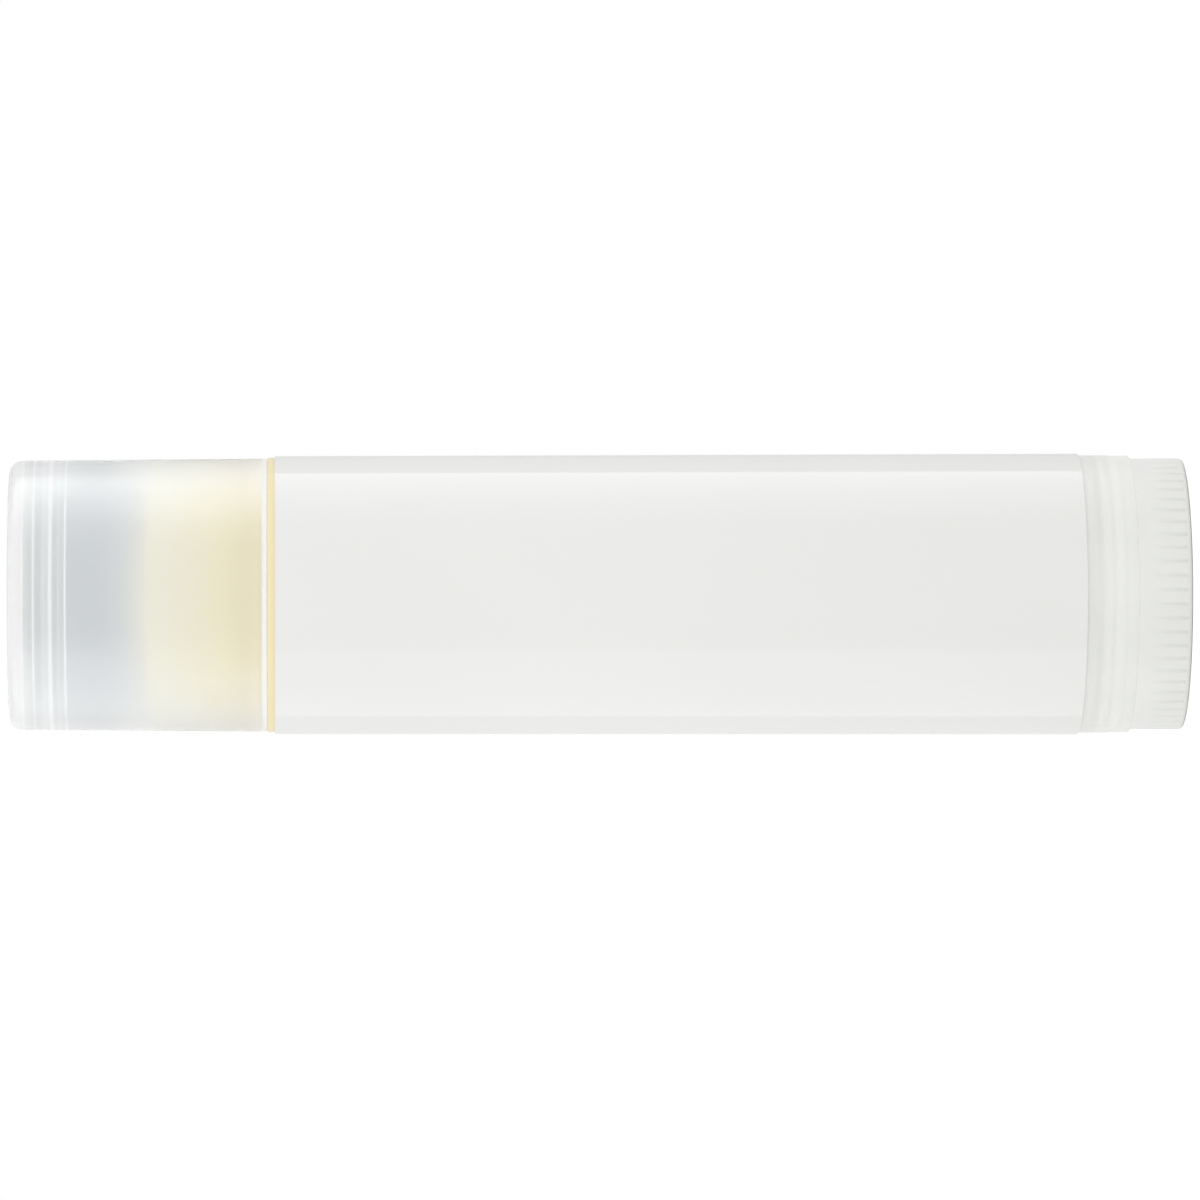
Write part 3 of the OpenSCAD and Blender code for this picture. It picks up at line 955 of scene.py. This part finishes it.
class LIPBALM_OT_barrel(bpy.types.Operator):
    """Builds the translucent barrel with its neck, bore, keys and hub seat"""

    bl_idname = "lipbalm.barrel"
    bl_label = "Barrel"

    def execute(self, context):
        s = context.scene.lip_barrel
        low, high, shoulder = BARREL_LOW.z, BARREL_HIGH.z, CAP_LOW.z
        seat_cone = s.seat_radius - s.bore_radius
        bead = shoulder + s.bead_rise
        key_low = s.seat_top + seat_cone
        key_high = shoulder - s.key_short
        end = 0.05 * MM  # height of a key's sloping end
        bm = turn([
            (s.seat_radius, low),
            (s.body_radius, low),
            (s.shoulder_radius, shoulder),
            (s.neck_radius, shoulder),
            (s.neck_radius, bead - s.bead_width / 2),
            (s.neck_radius + s.bead_out, bead - s.bead_width / 4),
            (s.neck_radius + s.bead_out, bead + s.bead_width / 4),
            (s.neck_radius, bead + s.bead_width / 2),
            (s.neck_radius, high),
            (s.bore_radius, high),
            (s.bore_radius, key_high + end),
            (s.bore_radius, key_high),
            (s.bore_radius, key_low + end),
            (s.bore_radius, key_low),
            (s.seat_radius, s.seat_top),
            (s.seat_radius, s.groove_height + s.groove_width / 2),
            (s.seat_radius + s.groove_depth, s.groove_height + s.groove_width / 4),
            (s.seat_radius + s.groove_depth, s.groove_height - s.groove_width / 4),
            (s.seat_radius, s.groove_height - s.groove_width / 2),
        ], 360)
        soften(bm, [
            (s.body_radius, low, 0.06 * MM),
            (s.shoulder_radius, shoulder, 0.1 * MM),
            (s.neck_radius, high, 0.15 * MM),
        ], 3)
        key_tip = s.bore_radius - s.key_height

        def with_keys(angle, radius, height):
            away = abs(off_nearest(angle, s.key_count)) * s.bore_radius
            on_bore = radius < s.bore_radius + 0.01 * MM
            on_key = key_low + end / 2 < height < key_high + end / 2 and away < s.key_width / 2
            return key_tip if on_bore and on_key else radius

        draw_to_radius(bm, with_keys)
        finish_piece(bm, "barrel_moulding", "barrel", barrel_plastic(s), ["barrel"])
        return {"FINISHED"}


class LIPBALM_OT_label(bpy.types.Operator):
    """Wraps the blank film round the barrel, with its lap at the back"""

    bl_idname = "lipbalm.label"
    bl_label = "Label"

    def execute(self, context):
        s = context.scene.lip_label
        barrel = context.scene.lip_barrel
        body_rise = CAP_LOW.z - BARREL_LOW.z
        narrowing = barrel.body_radius - barrel.shoulder_radius

        def body_radius(height):
            return barrel.body_radius - narrowing * (height - BARREL_LOW.z) / body_rise

        steps = 380
        angle = math.tau + s.lap / barrel.body_radius
        lifted = 1.04 * s.thickness  # clear of the film's own start by a little
        bm = bmesh.new()
        points = [bm.verts.new((body_radius(z), 0, z)) for z in (LABEL_LOW.z, LABEL_HIGH.z)]
        strip = [bm.edges.new(points)]
        turned_by(bm, points, s.lap_at)
        past_start = {v: -math.tau for v in points}
        for step in range(steps):
            made = bmesh.ops.extrude_edge_only(bm, edges=strip)["geom"]
            strip = [e for e in made if isinstance(e, bmesh.types.BMEdge)]
            fresh = [v for v in made if isinstance(v, bmesh.types.BMVert)]
            turned_by(bm, fresh, angle / steps)
            for v in fresh:
                past_start[v] = angle * (step + 1) / steps - math.tau
        for v, over in past_start.items():
            lift = lifted * max(0.0, min(1.0, over / s.climb + 1))
            v.co.xy *= 1 + lift / v.co.xy.length
        bmesh.ops.recalc_face_normals(bm, faces=bm.faces)
        face = bm.faces[:][0]
        if face.normal.dot(face.calc_center_median()) < 0:
            bmesh.ops.reverse_faces(bm, faces=bm.faces)
        film = bm.faces[:] + bm.edges[:] + bm.verts[:]
        bmesh.ops.solidify(bm, geom=film, thickness=-s.thickness)
        finish_piece(bm, "label_film", "barrel", film_finish(s), ["label"])
        return {"FINISHED"}


class LIPBALM_OT_dial(bpy.types.Operator):
    """Builds the fluted dial with its dished foot, hub and snap bead"""

    bl_idname = "lipbalm.dial"
    bl_label = "Dial"

    def execute(self, context):
        s = context.scene.lip_dial
        radius = DIAL_HIGH.x
        dish = radius - s.edge - s.ring_width
        flute_rise = s.flute_high - s.flute_low
        rings = 10
        flute_rings = [(radius, s.flute_low + flute_rise * i / rings) for i in range(rings + 1)]
        steps_a_flute = 16
        bm = turn([
            (0, s.dish_depth + s.gate_depth),
            (s.gate_radius, s.dish_depth + s.gate_depth),
            (s.gate_radius, s.dish_depth),
            (dish, s.dish_depth),
            (dish, 0),
            (radius, 0),
            *flute_rings,
            (radius, s.height),
            (s.hub_radius, s.height),
            (s.hub_radius, s.snap_height - s.snap_width / 2),
            (s.hub_radius + s.snap_out, s.snap_height - s.snap_width / 4),
            (s.hub_radius + s.snap_out, s.snap_height + s.snap_width / 4),
            (s.hub_radius, s.snap_height + s.snap_width / 2),
            (s.hub_radius, s.hub_top - s.snap_width / 4),
            (s.hub_radius - s.snap_width / 4, s.hub_top),
            (0, s.hub_top),
        ], s.flutes * steps_a_flute)
        soften(bm, [
            (radius, 0, s.edge),
            (radius, s.height, 0.02 * MM),
            (dish, 0, 0.08 * MM),
        ], 4)
        soften(bm, [
            (dish, s.dish_depth, 0.1 * MM),
            (s.gate_radius, s.dish_depth, 0.06 * MM),
        ], 2)
        cutter_radius = ((s.flute_width / 2) ** 2 + s.flute_depth ** 2) / (2 * s.flute_depth)

        def with_flutes(angle, wide, height):
            near = 0.01 * MM
            if wide < radius - near or not s.flute_low - near < height < s.flute_high:
                return wide
            away = off_nearest(angle, s.flutes) * radius
            share = ((s.flute_high - height) / flute_rise) ** s.flute_fade
            return wide - share * max(0.0, s.flute_depth - away ** 2 / (2 * cutter_radius))

        draw_to_radius(bm, with_flutes)
        turned_by(bm, bm.verts, s.flute_turn)
        plastic = satin_plastic("dial_plastic", s.plastic, radius)
        finish_piece(bm, "dial_knob", "dial", plastic, ["dial_screw"])
        return {"FINISHED"}


class LIPBALM_OT_screw(bpy.types.Operator):
    """Builds the screw that stands on the dial, with its left-hand thread"""

    bl_idname = "lipbalm.screw"
    bl_label = "Screw"

    def execute(self, context):
        s = context.scene.lip_dial
        tip = DIAL_HIGH.z
        sunk = 0.2 * MM  # how far pieces of the screw stand in one another
        bm = turn([
            (0, s.hub_top - sunk),
            (s.core_radius + s.flare + sunk, s.hub_top - sunk),
            (s.core_radius, s.hub_top + s.flare),
            (s.core_radius, tip - s.point),
            (s.core_radius - s.point, tip),
            (0, tip),
        ], 48)
        low = s.hub_top + s.flare + s.root_width / 2 + sunk
        rise = tip - s.point - s.root_width - low
        steps_a_turn = 36
        steps = math.ceil(rise / s.lead * steps_a_turn)
        inner = s.core_radius - sunk
        slope = (s.root_width - s.crest_width) / (s.screw_radius - s.core_radius)
        inner_width = s.root_width + slope * sunk
        points = [bm.verts.new((r, 0, z)) for r, z in [
            (inner, -inner_width / 2),
            (s.screw_radius, -s.crest_width / 2),
            (s.screw_radius, s.crest_width / 2),
            (inner, inner_width / 2),
        ]]
        turned_by(bm, points, -math.tau * low / s.lead)
        bmesh.ops.translate(bm, verts=points, vec=(0, 0, low))
        start = bm.faces.new(points)
        bmesh.ops.spin(
            bm, geom=points + start.edges[:] + [start], cent=(0, 0, 0), axis=(0, 0, 1),
            dvec=(0, 0, rise / steps), angle=-math.tau * rise / s.lead, steps=steps)
        bmesh.ops.recalc_face_normals(bm, faces=bm.faces)
        plastic = satin_plastic("spindle_plastic", s.plastic)
        finish_piece(bm, "dial_spindle", "dial", plastic)
        return {"FINISHED"}


class LIPBALM_OT_balm(bpy.types.Operator):
    """Builds the poured balm with its domed top and the slots that the keys leave"""

    bl_idname = "lipbalm.balm"
    bl_label = "Balm"

    def execute(self, context):
        s = context.scene.lip_balm
        barrel = context.scene.lip_barrel
        low, mouth = BALM_LOW.z, BARREL_HIGH.z
        cup_rim = low + s.foot_height
        room = 0.1 * MM  # from the keys' upper ends to the slots'
        slot_high = CAP_LOW.z - barrel.key_short + room
        end = 0.05 * MM  # height of a slot's sloping end
        ball = (s.radius ** 2 + s.dome ** 2) / (2 * s.dome)
        dome_steps = 12
        spreads = [math.asin(s.radius / ball) * i / dome_steps for i in range(dome_steps, 0, -1)]
        dome = [
            (ball * math.sin(spread), mouth + s.dome - ball * (1 - math.cos(spread)))
            for spread in spreads]
        bm = turn([
            (0, s.hole_top),
            (s.hole_radius, s.hole_top),
            (s.hole_radius, low),
            (s.foot_radius, low),
            (s.foot_radius, cup_rim),
            (s.radius, cup_rim),
            (s.radius, slot_high),
            (s.radius, slot_high + end),
            *dome,
            (0, mouth + s.dome),
        ], 360)

        def with_slots(angle, radius, height):
            away = abs(off_nearest(angle, barrel.key_count)) * s.radius
            inside = radius > s.slot_radius and height < slot_high + end / 2
            return s.slot_radius if inside and away < s.slot_width / 2 else radius

        draw_to_radius(bm, with_slots)
        finish_piece(bm, "balm_fill", "carrier", wax_finish(s), ["balm"])
        return {"FINISHED"}


class LIPBALM_OT_cap(bpy.types.Operator):
    """Builds the translucent cap with its rounded end and the narrowing rings in its bore"""

    bl_idname = "lipbalm.cap"
    bl_label = "Cap"

    def execute(self, context):
        s = context.scene.lip_cap
        low, high = CAP_LOW.z, CAP_HIGH.z
        end = high - s.end_thickness

        def narrowed(radius, height):
            return radius - s.draft * (height - low) / (high - low)

        inner = narrowed(s.bore_radius, end - s.rings[0])
        steps = []
        for distance in s.rings:
            steps.append((inner, end - distance))
            inner -= s.ring_step
            steps.append((inner, end - distance + s.ring_bevel))
        outer = narrowed(s.rim_radius, high)
        bm = turn([
            (0, high - s.gate_depth),
            (s.gate_radius, high - s.gate_depth),
            (s.gate_radius, high),
            (outer, high),
            (s.rim_radius, low),
            (s.bore_radius + s.lead_in, low),
            (narrowed(s.bore_radius, low + s.lead_in), low + s.lead_in),
            *steps,
            (inner, end),
            (0, end),
        ], 256)
        soften(bm, [(outer, high, s.corner)], 8)
        soften(bm, [(s.rim_radius, low, 0.1 * MM), (inner, end, 0.12 * MM)], 3)
        soften(bm, [(radius, height, 0.03 * MM) for radius, height in steps], 2)
        soften(bm, [(s.gate_radius, high, 0.05 * MM)], 2)
        finish_piece(bm, "cap_moulding", "cap", cap_plastic(s), ["cap"])
        return {"FINISHED"}


class LIPBALM_OT_carrier(bpy.types.Operator):
    """Gives the carrier its white plastic"""

    bl_idname = "lipbalm.carrier"
    bl_label = "Carrier"

    def execute(self, context):
        plastic = satin_plastic("carrier_plastic", context.scene.lip_carrier.plastic)
        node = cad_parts["carrier"]
        node.data.materials.clear()
        node.data.materials.append(plastic)
        return {"FINISHED"}


class LIPBALM_OT_stage(bpy.types.Operator):
    """Sets the floor, the white surroundings, the softboxes and the camera"""

    bl_idname = "lipbalm.stage"
    bl_label = "Stage"

    def execute(self, context):
        s = context.scene.lip_stage
        self.floor(context, s)
        self.surroundings(context, s)
        self.softbox(context, s, "lower_softbox", s.lower_bearing, s.lower_width, s.lower_light)
        self.softbox(
            context, s, "upper_softbox", s.upper_bearing, s.upper_width, s.upper_light, ramp=True)
        self.bounces(context)
        self.camera(context, s)
        context.scene.view_settings.view_transform = "Standard"
        return {"FINISHED"}

    def floor(self, context, s):
        """A round white floor that keeps the stick's shadow."""
        bm = bmesh.new()
        bmesh.ops.create_circle(bm, cap_ends=True, segments=96, radius=s.floor_radius)
        mesh = bpy.data.meshes.new("floor")
        bm.to_mesh(mesh)
        bm.free()
        floor = bpy.data.objects.new("floor", mesh)
        context.scene.collection.objects.link(floor)
        material, finish = new_finish("floor_white")
        seen, mirrored, through = finish.rays("Camera", "Glossy", "Transmission")
        shown = seen + through + s.floor_mirrored * mirrored * (1 - through)
        glow = finish.node("ShaderNodeEmission", None, {"Strength": s.floor_glow * shown})
        matt = finish.node("ShaderNodeBsdfDiffuse", None, {"Color": (*s.floor_white, 1)})
        finish.surface(finish.node("ShaderNodeAddShader", None, {0: glow, 1: matt}))
        mesh.materials.append(material)

    def surroundings(self, context, s):
        """White where it is seen, mirrored or seen through, and an even fill as light."""
        world = bpy.data.worlds.new("surroundings")
        context.scene.world = world
        world.use_nodes = True
        finish = Finish(world.node_tree)
        seen, mirrored, through = finish.rays("Camera", "Glossy", "Transmission")
        toward = finish.node("ShaderNodeTexCoord", output="Generated")
        right, back = finish.outputs("ShaderNodeSeparateXYZ", "XY", {0: toward})
        on_left = 0.3
        side = on_left + (1 - on_left) * finish.between(right, -0.3, 0.3)
        shade = s.rear_shade * side * finish.between(back, 0, 0.6)
        backdrop = finish.between(back, 0.97, 0.99)

        def room(shaded):
            """The room's strength, by how much of its rear shade shows, with the backdrop in it."""
            beside = s.room * (1 - shaded * shade)
            return beside + backdrop * (1 - beside)

        strength = (
            s.fill
            + seen * (1 - s.fill)
            + through * (room(s.rear_shade_through) - s.fill)
            + mirrored * (1 - through) * (room(1) - s.fill))
        glow = finish.node(
            "ShaderNodeBackground", None, {"Color": (1, 1, 1, 1), "Strength": strength})
        finish.node("ShaderNodeOutputWorld", None, {"Surface": glow})

    def softbox(self, context, s, name, bearing, width, radiance, ramp=False):
        """A tall softbox that faces the stick, at a bearing from the camera's side round to -X.

        It shows in reflections alone. With ramp, it comes up evenly from its near edge."""
        data = bpy.data.lights.new(name, "AREA")
        data.shape = "RECTANGLE"
        data.size = width
        data.size_y = s.softbox_height
        data.energy = radiance * math.pi * width * s.softbox_height
        if ramp:
            data.use_nodes = True
            finish = Finish(data.node_tree)
            place = finish.node("ShaderNodeTexCoord", output="UV")
            across = finish.node("ShaderNodeSeparateXYZ", None, {0: place})
            glow = finish.node("ShaderNodeEmission", None, {"Strength": across})
            finish.node("ShaderNodeOutputLight", None, {"Surface": glow})
        lamp = bpy.data.objects.new(name, data)
        context.scene.collection.objects.link(lamp)
        out = Vector((-math.sin(bearing), -math.cos(bearing), 0))
        middle = Vector((0, 0, s.softbox_height / 5))
        lamp.location = middle + s.softbox_distance * out
        lamp.rotation_euler = (-out).to_track_quat("-Z", "Y").to_euler()
        lamp.visible_camera = False
        lamp.visible_diffuse = False

    def bounces(self, context):
        """Enough bounces for light to come through all the translucent walls."""
        cycles = context.scene.cycles
        cycles.max_bounces = 24
        cycles.transmission_bounces = 24
        cycles.glossy_bounces = 12
        cycles.diffuse_bounces = 6
        cycles.transparent_max_bounces = 24

    def camera(self, context, s):
        """The camera of the photograph, on its side so that the stick lies across the picture."""
        data = bpy.data.cameras.new("camera")
        data.sensor_width = 36
        data.lens = data.sensor_width * s.distance / s.picture_width
        data.clip_start = 0.01
        data.clip_end = 10
        camera = bpy.data.objects.new("camera", data)
        context.scene.collection.objects.link(camera)
        place = Vector((s.aside, -s.distance, s.eye_height))
        ahead = (Vector((s.aside, 0, s.aim_height)) - place).normalized()
        up = Vector((math.cos(s.roll), 0, math.sin(s.roll)))
        right = ahead.cross(up).normalized()
        up = right.cross(ahead)
        turned = Matrix((right, up, -ahead)).transposed()
        camera.matrix_world = Matrix.Translation(place) @ turned.to_4x4()
        context.scene.camera = camera


OPERATORS = [
    LIPBALM_OT_barrel,
    LIPBALM_OT_label,
    LIPBALM_OT_dial,
    LIPBALM_OT_screw,
    LIPBALM_OT_balm,
    LIPBALM_OT_cap,
    LIPBALM_OT_carrier,
    LIPBALM_OT_stage,
]


class LIPBALM_PT_panel(bpy.types.Panel):
    """Lists the pieces and their settings"""

    bl_idname = "LIPBALM_PT_panel"
    bl_label = "Lip Balm"
    bl_space_type = "VIEW_3D"
    bl_region_type = "UI"
    bl_category = "Lip Balm"

    def draw(self, context):
        for operator in OPERATORS:
            self.layout.operator(operator.bl_idname)
        for name in SETTINGS:
            box = self.layout.box()
            box.label(text=name.replace("lip_", "").capitalize())
            group = getattr(context.scene, name)
            for prop in group.bl_rna.properties:
                if prop.identifier not in {"rna_type", "name"}:
                    box.prop(group, prop.identifier)


def register():
    for cls in [*SETTINGS.values(), *OPERATORS, LIPBALM_PT_panel]:
        bpy.utils.register_class(cls)
    for name, cls in SETTINGS.items():
        setattr(bpy.types.Scene, name, bpy.props.PointerProperty(type=cls))


def unregister():
    for name in SETTINGS:
        delattr(bpy.types.Scene, name)
    for cls in reversed([*SETTINGS.values(), *OPERATORS, LIPBALM_PT_panel]):
        bpy.utils.unregister_class(cls)


def main():
    register()
    bpy.ops.lipbalm.barrel()
    bpy.ops.lipbalm.label()
    bpy.ops.lipbalm.dial()
    bpy.ops.lipbalm.screw()
    bpy.ops.lipbalm.balm()
    bpy.ops.lipbalm.cap()
    bpy.ops.lipbalm.carrier()
    bpy.ops.lipbalm.stage()


if __name__ == "__main__":
    main()
